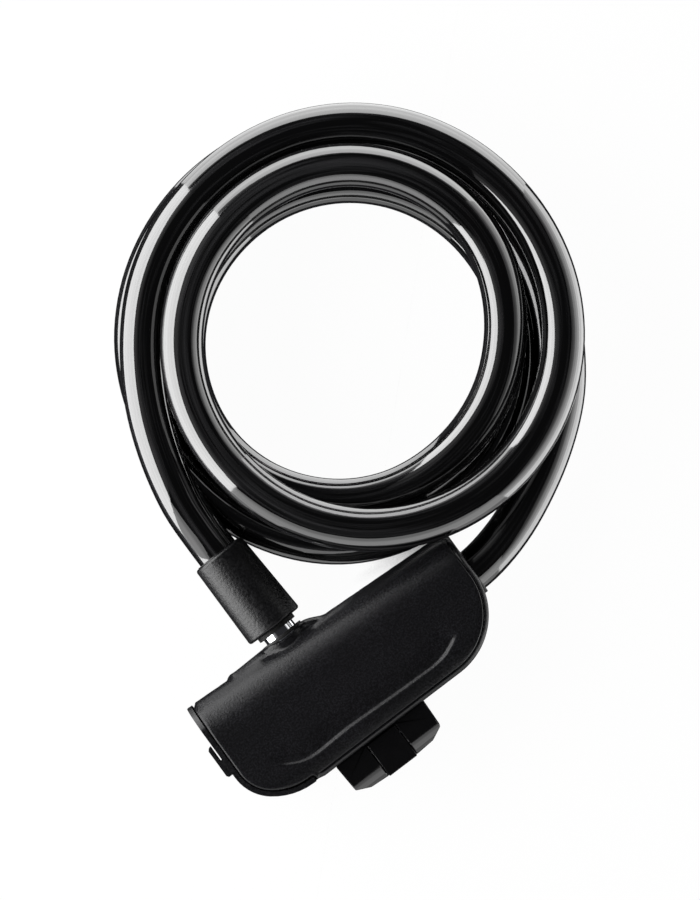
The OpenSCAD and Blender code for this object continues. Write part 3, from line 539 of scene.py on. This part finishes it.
shells = [shellPiece(shell) for shell in shellSetup]


# The other moulded and turned pieces keep the shape of their solids, with joined, softened edges
def softCopy(name, node, body, slotName, edge, segments=3, sharp=32, reshape=None, clamp=True):
    piece = mergedCopy(node, name)
    if reshape:
        piece = reshape(piece)
    shape = bmesh.new()
    shape.from_mesh(piece.data)
    if edge:
        picked = [e for e in shape.edges if e.calc_face_angle(0) > radians(sharp) and e.is_convex
                  and e.calc_length() > copySetup["shortestEdge"] * mm]
        bmesh.ops.bevel(shape, geom=picked, offset=edge * mm, offset_type="OFFSET", segments=segments,
                        profile=0.5, affect="EDGES", clamp_overlap=clamp, material=-1)
    shape.to_mesh(piece.data)
    shape.free()
    evenShading(piece, sharp)
    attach(piece, body)
    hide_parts(node)
    return piece, slotName


footSetup = {"place": (-3.8, -17.64), "tilt": 1.26, "halfDepth": 9, "drop": 10.9, "half": 17, "rootAt": 6,
             "roundFrom": (-5.2, 3.2), "rounds": (5.66, 5.78), "steps": 12,
             "lipBack": 0.2, "lipTall": 2, "lipDeep": 1}


def roundedFoot(foot):
    # trims the foot to a section whose front and rear swell down to its sole
    setup = footSetup
    (y0, z0), (a, c), steps = setup["roundFrom"], setup["rounds"], setup["steps"]
    arc = [(y0 - a * sin(pi / 2 * i / steps), z0 + c * cos(pi / 2 * i / steps)) for i in range(steps + 1)]
    root = setup["rootAt"]
    section = [(root, z0 + c)] + arc + [(y, -z) for y, z in reversed(arc)] + [(root, -z0 - c)]
    shape = bmesh.new()
    face = shape.faces.new([shape.verts.new((-setup["half"], y, z)) for y, z in section])
    made = bmesh.ops.extrude_face_region(shape, geom=[face])
    bmesh.ops.translate(shape, verts=[v for v in made["geom"] if isinstance(v, bmesh.types.BMVert)],
                        vec=(2 * setup["half"], 0, 0))
    tilt = Matrix.Rotation(radians(setup["tilt"]), 4, "Z")
    place = Matrix.Translation((*setup["place"], bodySetup["seam"])) @ tilt
    bmesh.ops.transform(shape, matrix=Matrix.Scale(mm, 4) @ place, verts=shape.verts)
    bmesh.ops.recalc_face_normals(shape, faces=shape.faces)
    return trimTo(asObject("footForm", asMesh("footForm", shape)), foot, "mountFoot")


def squareTongue(tongue):
    # the tongue's sole meets its front at a crisp corner
    front = bodySetup["seam"] + footSetup["halfDepth"] - footSetup["lipBack"]
    low = footSetup["place"][1] - footSetup["drop"] + footSetup["lipTall"]
    for v in tongue.data.vertices:
        if v.co.y / mm < low and v.co.z / mm > front - footSetup["lipDeep"]:
            v.co.z = front * mm
    return tongue


softPieces = [
    softCopy("dustCover", "dust_cover", "cover", "cover_plastic", 0.2),
    softCopy("mountFoot", "mount_foot", "lock_body", "foot_plastic", 0.25, 2, 18, roundedFoot, clamp=False),
    softCopy("footTongue", "foot_tongue", "tongue", "foot_plastic", 0.2, 2, reshape=squareTongue,
             clamp=False),
    softCopy("ferruleShell", "ferrule_shell", "cable_and_bolt", "ferrule_plastic", 0),
    softCopy("ferruleLip", "ferrule_lip", "cable_and_bolt", "ferrule_plastic", 0.15, 2),
    softCopy("boltCollar", "bolt_collar", "cable_and_bolt", "black_rubber", 0.25),
    softCopy("boltSeal", "bolt_seal", "lock_body", "black_rubber", 0.12, 2),
    softCopy("cableGrommet", "cable_grommet", "lock_body", "black_rubber", 0.3),
    softCopy("lockBolt", "lock_bolt", "cable_and_bolt", "chromed_steel", 0),
    softCopy("shellScrews", "shell_screws", "lock_body", "dark_screws", 0.12, 2),
    softCopy("cylinderBarrel", "cylinder_barrel", "lock_body", "brass", 0.15, 2),
    softCopy("cylinderPlug", "cylinder_plug", "plug", "brass", 0),
]
print("small pieces softened:", len(softPieces))

# The coil spring behind the tongue
springSetup = {"wire": 0.42, "turns": 7, "pointsATurn": 20, "closedEnds": 0.4, "pressedBy": 1, "sides": 12}


def tongueSpring():
    low, high = (Vector(corner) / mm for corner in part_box("tongue_spring"))
    middle, tall = (low + high) / 2, high.z - low.z
    wire = springSetup["wire"] / 2
    r = (high.x - low.x) / 2 - wire
    count = springSetup["turns"] * springSetup["pointsATurn"]
    closed = springSetup["closedEnds"]
    line = []
    for i in range(count + 1):
        t = i / count
        angle = 2 * pi * springSetup["turns"] * t
        rise = (1 - closed) * t + closed * smoothStep(0, 1, t)
        line.append(Vector((middle.x + r * cos(angle), middle.y + r * sin(angle),
                            low.z + wire + (tall - 2 * wire) * rise)))
    spring = sweptPiece("tongueSpring", line, wire, springSetup["sides"])
    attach(spring, "lock_body")
    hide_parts("tongue_spring")
    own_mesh(spring)
    return spring, "bright_steel"


softPieces.append(tongueSpring())
print("spring wound")


# Materials. Sizes of patterns are in millimetres. What is too fine to show is drawn coarser than it is: a
# spark-eroded grain is really 0.1 to 0.2 wide, the lines that a die leaves about 0.2, and the marks of a
# lathe, a grinder or a drawing plate some hundredths.
patternSetup = {"wornPatch": 14, "rubbedPatch": 3, "dieLineAndStreak": 1.4, "dieLineDepth": 0.02, "dieLineRun": 60,
                "dieWave": 7, "dieWaveDepth": 0.06, "dieWaveRun": 8, "grainSpread": 0.07, "markSpread": 0.06,
                "leastRough": 0.02}


def linear(code):
    # an sRGB hex colour as linear red, green, blue and alpha
    parts = [int(code[i:i + 2], 16) / 255 for i in (1, 3, 5)]
    return (*[p / 12.92 if p <= 0.04045 else ((p + 0.055) / 1.055) ** 2.4 for p in parts], 1)


def addNode(tree, kind, inputs=(), **settings):
    # one node, with its settings, its input values and its links
    made = tree.nodes.new(kind)
    for name, value in settings.items():
        setattr(made, name, value)
    for name, value in dict(inputs).items():
        if isinstance(value, bpy.types.NodeSocket):
            tree.links.new(value, made.inputs[name])
        else:
            made.inputs[name].default_value = value
    return made


def newMaterial(name, **values):
    material = bpy.data.materials.new(name)
    material.use_nodes = True
    tree = material.node_tree
    tree.nodes.clear()
    shader = addNode(tree, "ShaderNodeBsdfPrincipled", values)
    addNode(tree, "ShaderNodeOutputMaterial", {"Surface": shader.outputs[0]})
    return material, tree, shader


def joinUp(tree, shader, colour, rough, bump):
    # gives the shader its colour, roughness and relief
    tree.links.new(colour.outputs[2], shader.inputs["Base Color"])
    tree.links.new(rough.outputs[0], shader.inputs["Roughness"])
    tree.links.new(bump.outputs[0], shader.inputs["Normal"])


def grainedPlastic(name, colour, light, roughness, grain, depth, shine=0.3):
    # moulded in a spark-eroded tool: a dull black with a fine sparkle where the light glances off it
    p = patternSetup
    material, tree, shader = newMaterial(name, **{"IOR": 1.54, "Specular IOR Level": shine})
    place = addNode(tree, "ShaderNodeTexCoord").outputs["Object"]
    fine = addNode(tree, "ShaderNodeTexNoise", {"Vector": place, "Scale": 1 / (grain * mm), "Detail": 3,
                                                "Roughness": 0.6})
    patches = addNode(tree, "ShaderNodeTexNoise", {"Vector": place, "Scale": 1 / (p["wornPatch"] * mm),
                                                   "Detail": 4})
    grains = addNode(tree, "ShaderNodeMapRange", {"Value": fine.outputs["Fac"], "From Min": 0.42,
                                                  "From Max": 0.66, "To Max": 1.0})
    worn = addNode(tree, "ShaderNodeMath", {0: grains.outputs[0], 1: patches.outputs["Fac"]},
                   operation="MULTIPLY")
    mix = addNode(tree, "ShaderNodeMix", {0: worn.outputs[0], 6: linear(colour), 7: linear(light)},
                  data_type="RGBA")
    rough = addNode(tree, "ShaderNodeMapRange", {"Value": fine.outputs["Fac"], "From Min": 0.3,
                                                 "From Max": 0.7, "To Min": roughness - p["grainSpread"],
                                                 "To Max": roughness + p["grainSpread"]})
    bump = addNode(tree, "ShaderNodeBump", {"Height": fine.outputs["Fac"], "Strength": 1,
                                            "Distance": depth * mm})
    joinUp(tree, shader, mix, rough, bump)
    return material


def glossyPlastic(name, colour, light, roughness, ripple, depth):
    # moulded in a polished tool: sharp reflections, a faint ripple, and fine rubbed patches
    p = patternSetup
    material, tree, shader = newMaterial(name, IOR=1.53)
    place = addNode(tree, "ShaderNodeTexCoord").outputs["Object"]
    wave = addNode(tree, "ShaderNodeTexNoise", {"Vector": place, "Scale": 1 / (ripple * mm), "Detail": 1})
    rubbed = addNode(tree, "ShaderNodeTexNoise", {"Vector": place, "Scale": 1 / (p["rubbedPatch"] * mm),
                                                  "Detail": 6, "Roughness": 0.7})
    mix = addNode(tree, "ShaderNodeMix", {0: rubbed.outputs["Fac"], 6: linear(colour), 7: linear(light)},
                  data_type="RGBA")
    rough = addNode(tree, "ShaderNodeMapRange", {"Value": rubbed.outputs["Fac"], "From Min": 0.35,
                                                 "From Max": 0.75, "To Min": roughness,
                                                 "To Max": roughness + p["markSpread"]})
    bump = addNode(tree, "ShaderNodeBump", {"Height": wave.outputs["Fac"], "Strength": 1,
                                            "Distance": depth * mm})
    joinUp(tree, shader, mix, rough, bump)
    return material


def drawnSheath(name, colour, paintedReflectionStreak):
    # clear-skinned PVC drawn through a die: mirror-like, with faint long die lines in its relief and
    # roughness, and a slow waviness; the paler colour along the same lines is a painted reflection, faint
    # streaks of light along the tube
    p = patternSetup
    material, tree, shader = newMaterial(name, **{"IOR": 1.53, "Coat Weight": 1.0, "Coat Roughness": 0.04})
    place = addNode(tree, "ShaderNodeAttribute", attribute_name="cableWay").outputs["Vector"]
    drawn = addNode(tree, "ShaderNodeMapping", {"Vector": place, "Scale": (1 / p["dieLineRun"], 1, 1)})
    dieLinesAndStreaks = addNode(tree, "ShaderNodeTexNoise", {"Vector": drawn.outputs[0], "Scale": 1 / (p["dieLineAndStreak"] * mm),
                                                 "Detail": 3, "Roughness": 0.65})
    broad = addNode(tree, "ShaderNodeMapping", {"Vector": place, "Scale": (1 / p["dieWaveRun"], 1, 1)})
    wave = addNode(tree, "ShaderNodeTexNoise", {"Vector": broad.outputs[0], "Scale": 1 / (p["dieWave"] * mm),
                                                "Detail": 1})
    # the paler streak colour along the die lines is a painted reflection, not a colour of the PVC
    pale = addNode(tree, "ShaderNodeMapRange", {"Value": dieLinesAndStreaks.outputs["Fac"], "From Min": 0.46,
                                                "From Max": 0.72})
    mix = addNode(tree, "ShaderNodeMix", {0: pale.outputs[0], 6: linear(colour), 7: linear(paintedReflectionStreak)},
                  data_type="RGBA")
    rough = addNode(tree, "ShaderNodeMapRange", {"Value": dieLinesAndStreaks.outputs["Fac"], "From Min": 0.4,
                                                 "From Max": 0.7, "To Min": 0.05, "To Max": 0.12})
    fine = addNode(tree, "ShaderNodeBump", {"Height": dieLinesAndStreaks.outputs["Fac"], "Strength": 1,
                                            "Distance": p["dieLineDepth"] * mm})
    bump = addNode(tree, "ShaderNodeBump", {"Height": wave.outputs["Fac"], "Strength": 1,
                                            "Distance": p["dieWaveDepth"] * mm, "Normal": fine.outputs[0]})
    joinUp(tree, shader, mix, rough, bump)
    tree.links.new(bump.outputs[0], shader.inputs["Coat Normal"])
    return material


def workedMetal(name, colour, light, roughness, scratch, depth, stretch=(1, 1, 1)):
    # bare or plated metal, with fine marks along the way it was drawn, turned or cast
    p = patternSetup
    material, tree, shader = newMaterial(name, Metallic=1.0)
    place = addNode(tree, "ShaderNodeTexCoord").outputs["Object"]
    turned = addNode(tree, "ShaderNodeMapping", {"Vector": place, "Scale": stretch})
    marks = addNode(tree, "ShaderNodeTexNoise", {"Vector": turned.outputs[0], "Scale": 1 / (scratch * mm),
                                                 "Detail": 5, "Roughness": 0.65})
    mix = addNode(tree, "ShaderNodeMix", {0: marks.outputs["Fac"], 6: linear(colour), 7: linear(light)},
                  data_type="RGBA")
    rough = addNode(tree, "ShaderNodeMapRange", {"Value": marks.outputs["Fac"], "From Min": 0.3,
                                                 "From Max": 0.7,
                                                 "To Min": max(roughness - p["markSpread"], p["leastRough"]),
                                                 "To Max": roughness + p["markSpread"]})
    bump = addNode(tree, "ShaderNodeBump", {"Height": marks.outputs["Fac"], "Strength": 1,
                                            "Distance": depth * mm})
    joinUp(tree, shader, mix, rough, bump)
    return material


# After the name: dark and light colour, roughness, width of the grain or marks, depth of the relief
materials = {
    # moulded ABS of the shells: a slightly greyed black, with a soft sheen along the rounded top edge
    "shell_plastic": grainedPlastic("grainedBlackAbs", "#0f0f10", "#242427", 0.2, 0.5, 0.08, 0.15),
    # moulded ABS from a finer tool: a flatter, plainer black
    "cover_plastic": grainedPlastic("satinBlackAbs", "#08080a", "#18181a", 0.34, 0.6, 0.02),
    # moulded ABS from a coarser tool: its grain breaks up the light along the ferrule
    "ferrule_plastic": grainedPlastic("coarseBlackAbs", "#070708", "#1c1c1e", 0.36, 0.7, 0.12, 0.32),
    # moulded nylon, polished: nearly pure black, and pale only where its sole mirrors the light
    "foot_plastic": glossyPlastic("polishedBlackNylon", "#060606", "#0a0a0b", 0.12, 9, 0.01),
    # extruded PVC under a clear skin: deep black with hard bands of light along the cable, and faint pale
    # streaks along it that are painted reflections
    "cable_sheath": drawnSheath("clearSkinnedBlackPvc", "#030303", "#262627"),
    # moulded nitrile rubber: dull and a little paler than the plastics
    "black_rubber": grainedPlastic("blackRubber", "#101010", "#161616", 0.62, 0.5, 0.02),
    # chromium plated on polished steel: a near mirror
    "chromed_steel": workedMetal("chromedSteel", "#dfe1e4", "#e8e9eb", 0.06, 2, 0.001),
    # hardened steel, ground: grey, with marks one way
    "hardened_steel": workedMetal("groundSteel", "#8b8e92", "#9c9fa3", 0.34, 0.5, 0.006, (1, 8, 1)),
    # cold-drawn steel wire and pins: bright, with marks along their length
    "bright_steel": workedMetal("drawnSteel", "#b9bbbe", "#c8cacc", 0.26, 0.5, 0.004, (1, 1, 6)),
    # steel blackened in oil: dark, with little shine
    "dark_screws": workedMetal("blackenedSteel", "#2c2d2f", "#3a3b3d", 0.38, 0.6, 0.006),
    # galvanised strand: pale grey with a soft shine
    "rope_steel": workedMetal("galvanisedStrand", "#a6a8aa", "#bcbec0", 0.32, 0.4, 0.006),
    # die-cast zinc: matt grey, a little mottled
    "zinc": workedMetal("castZinc", "#9c9ea1", "#aeb0b2", 0.48, 0.7, 0.02),
    # turned brass: yellow, with rings from the lathe
    "brass": workedMetal("turnedBrass", "#c7a052", "#d6b266", 0.24, 0.4, 0.004, (1, 6, 6)),
}
nodeSlots = {
    "shell_plastic": ["front_shell", "rear_shell"],
    "cover_plastic": ["dust_cover"],
    "ferrule_plastic": ["ferrule_shell", "ferrule_lip"],
    "foot_plastic": ["mount_foot", "foot_tongue"],
    "black_rubber": ["bolt_seal", "bolt_collar", "cable_grommet"],
    "chromed_steel": ["lock_bolt"],
    "hardened_steel": ["drill_guard", "bolt_bush"],
    "dark_screws": ["shell_screws", "tongue_pin"],  # the pin's ends can be seen beside the tongue
    "zinc": ["lock_core"],
    "bright_steel": ["dust_cover_pin", "tail_clip", "cam_disc", "rope_socket", "crimp_sleeve", "anchor_pin",
                     "tongue_spring"],
    "brass": ["cylinder_barrel", "cylinder_plug", "wafers"],
}


def dress(piece, slotName):
    piece.data.materials.clear()
    piece.data.materials.append(materials[slotName])


for slotName, nodeNames in nodeSlots.items():
    for nodeName in nodeNames:
        dress(cadNodes[nodeName], slotName)
for piece in (leadIn, coil):
    dress(piece, "cable_sheath")
for piece in (ropeLeadIn, ropeCoil):
    dress(piece, "rope_steel")
for piece in shells:
    dress(piece, "shell_plastic")
for piece, slotName in softPieces:
    dress(piece, slotName)
print("materials made")

# Low walls of light round the object; they reach below it, as a table of glass would let them. Their
# brightness is given from the lowest strip to the highest.
# contactReach, contactSamples, the contact range and darkest shape the floor's painted contact shadow
studioSetup = {"wallAway": 420, "wallLong": 840, "dim": "#2c2c2e", "paleTo": (0.35, 0.5),
               "mirroredFrom": (-0.25, -0.15), "floorReach": 8, "paper": "#ececec", "glow": 0.97,
               "contactReach": 9, "contactSamples": 8, "paintedContactShadow": (0.03, 0.3), "darkest": 0.05}
wallSetup = [
    {"name": "leftWall", "way": -pictureRight, "low": -120, "high": 470, "brightness": [5.5, 6.5, 7.5, 8]},
    {"name": "leftWallTop", "way": -pictureRight, "low": 470, "high": 1100, "brightness": [0.3, 0.12]},
    {"name": "topWall", "way": pictureUp, "low": -700, "high": 190,
     "brightness": [1.4, 1.8, 2.3, 2.9, 3.6, 3.3]},
    {"name": "rightWall", "way": pictureRight, "low": -370, "high": 380,
     "brightness": [2, 3.2, 3.7, 3.5, 1.8, 1, 0.6, 0.35]},
    {"name": "bottomWall", "way": -pictureUp, "low": -400, "high": 400,
     "brightness": [0.6, 0.8, 1, 1.2, 1.4]},
]
middle = Vector((*cameraSetup["over"], 0))
for wall in wallSetup:
    tall = (wall["high"] - wall["low"]) / len(wall["brightness"])
    for strip, brightness in enumerate(wall["brightness"]):
        data = bpy.data.lights.new(wall["name"], "AREA")
        data.shape = "RECTANGLE"
        data.size = studioSetup["wallLong"] * mm
        data.size_y = tall * mm
        data.energy = brightness * pi * data.size * data.size_y
        lamp = asObject(wall["name"], data)
        height = wall["low"] + (strip + 0.5) * tall
        lamp.location = (middle + wall["way"] * studioSetup["wallAway"] + Vector((0, 0, height))) * mm
        lamp.rotation_euler = (-wall["way"]).to_track_quat("-Z", "Y").to_euler()
        lamp.visible_camera = False

# The world is dim, but the camera sees it white up to just over the horizon, and so does what mirrors, from
# just under the horizon
world = bpy.data.worlds.new("studio")
scene.world = world
world.use_nodes = True
tree = world.node_tree
tree.nodes.clear()
path = addNode(tree, "ShaderNodeLightPath")
heading = addNode(tree, "ShaderNodeSeparateXYZ",
                  {0: addNode(tree, "ShaderNodeTexCoord").outputs["Generated"]})
low = addNode(tree, "ShaderNodeMapRange", {"Value": heading.outputs["Z"],
                                           "From Min": studioSetup["paleTo"][0],
                                           "From Max": studioSetup["paleTo"][1],
                                           "To Min": 1.0, "To Max": 0.0})
level = addNode(tree, "ShaderNodeMapRange", {"Value": heading.outputs["Z"],
                                             "From Min": studioSetup["mirroredFrom"][0],
                                             "From Max": studioSetup["mirroredFrom"][1],
                                             "To Min": 0.0, "To Max": 1.0})
band = addNode(tree, "ShaderNodeMath", {0: low.outputs[0], 1: level.outputs[0]}, operation="MULTIPLY")
mirrored = addNode(tree, "ShaderNodeMath", {0: path.outputs["Is Glossy Ray"],
                                            1: path.outputs["Is Transmission Ray"]}, operation="MAXIMUM")
mirroredPale = addNode(tree, "ShaderNodeMath", {0: mirrored.outputs[0], 1: band.outputs[0]},
                       operation="MULTIPLY")
viewedPale = addNode(tree, "ShaderNodeMath", {0: path.outputs["Is Camera Ray"], 1: low.outputs[0]},
                     operation="MULTIPLY")
share = addNode(tree, "ShaderNodeMath", {0: viewedPale.outputs[0], 1: mirroredPale.outputs[0]},
                operation="MAXIMUM")
dim = addNode(tree, "ShaderNodeBackground", {"Color": linear(studioSetup["dim"]), "Strength": 1.0})
pale = addNode(tree, "ShaderNodeBackground", {"Color": (1, 1, 1, 1), "Strength": 1.0})
both = addNode(tree, "ShaderNodeMixShader", {0: share.outputs[0], 1: dim.outputs[0], 2: pale.outputs[0]})
addNode(tree, "ShaderNodeOutputWorld", {"Surface": both.outputs[0]})

# The floor is white paper. Its glow is darkened where the object touches it or nearly does, a painted contact
# shadow
floorShape = bmesh.new()
bmesh.ops.create_grid(floorShape, x_segments=1, y_segments=1, size=studioSetup["floorReach"])
floorMesh = asMesh("studioFloor", floorShape)
studioFloor = asObject("studioFloor", floorMesh)
floorMaterial = bpy.data.materials.new("whitePaper")
floorMaterial.use_nodes = True
tree = floorMaterial.node_tree
tree.nodes.clear()
path = addNode(tree, "ShaderNodeLightPath")
paper = addNode(tree, "ShaderNodeBsdfDiffuse", {"Color": linear(studioSetup["paper"])})
# the glow dims with the occlusion around it: a painted contact shadow in the paper's glow
nearby = addNode(tree, "ShaderNodeAmbientOcclusion", {"Distance": studioSetup["contactReach"] * mm},
                 samples=studioSetup["contactSamples"])
paintedContactShadow = addNode(tree, "ShaderNodeMapRange", {"Value": nearby.outputs["AO"],
                                               "From Min": studioSetup["paintedContactShadow"][0],
                                               "From Max": studioSetup["paintedContactShadow"][1],
                                               "To Min": studioSetup["darkest"], "To Max": 1.0})
glow = addNode(tree, "ShaderNodeEmission", {"Color": (1, 1, 1, 1), "Strength": paintedContactShadow.outputs[0]})
seenPaper = addNode(tree, "ShaderNodeMixShader", {0: studioSetup["glow"], 1: paper.outputs[0],
                                                  2: glow.outputs[0]})
both = addNode(tree, "ShaderNodeMixShader", {0: path.outputs["Is Camera Ray"], 1: paper.outputs[0],
                                             2: seenPaper.outputs[0]})
addNode(tree, "ShaderNodeOutputMaterial", {"Surface": both.outputs[0]})
studioFloor.visible_glossy = False  # what shines sees the walls of light under the paper
floorMesh.materials.append(floorMaterial)
print("studio set")
